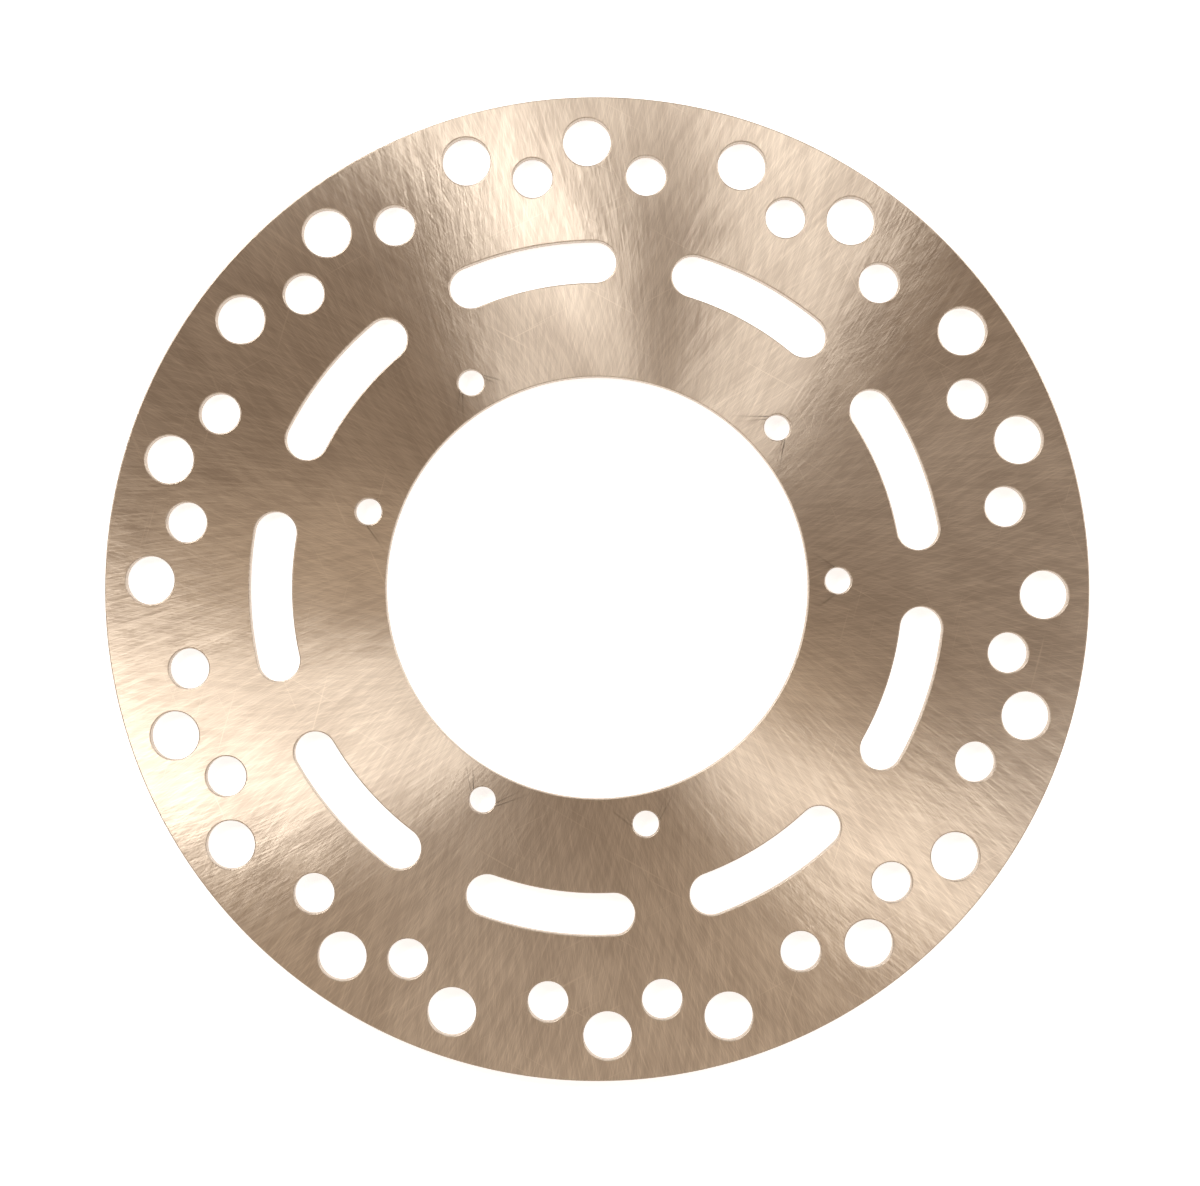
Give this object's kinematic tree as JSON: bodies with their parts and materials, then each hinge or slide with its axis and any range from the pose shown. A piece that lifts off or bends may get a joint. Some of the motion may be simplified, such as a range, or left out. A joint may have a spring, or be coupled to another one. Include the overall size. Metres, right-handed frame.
{
  "type": "brake disc rotor",
  "caption": "Flat solid motorcycle brake disc with a large central bore, paired mounting holes, arc slots and rings of round vent holes.",
  "frame": {"origin": "where the bore axis meets the mounting face, the flat back of the plate", "axes": "+Z along the bore axis, from the mounting face to the front face; +X through the first mounting hole of a pair"},
  "size_m": [0.245, 0.245, 0.004],
  "materials": {
    "ground_steel": "ground stainless steel with short curved grinding marks that run outward from the bore"
  },
  "bodies": {
    "root": {"brake_disc": "ground_steel"}
  },
  "joints": []
}
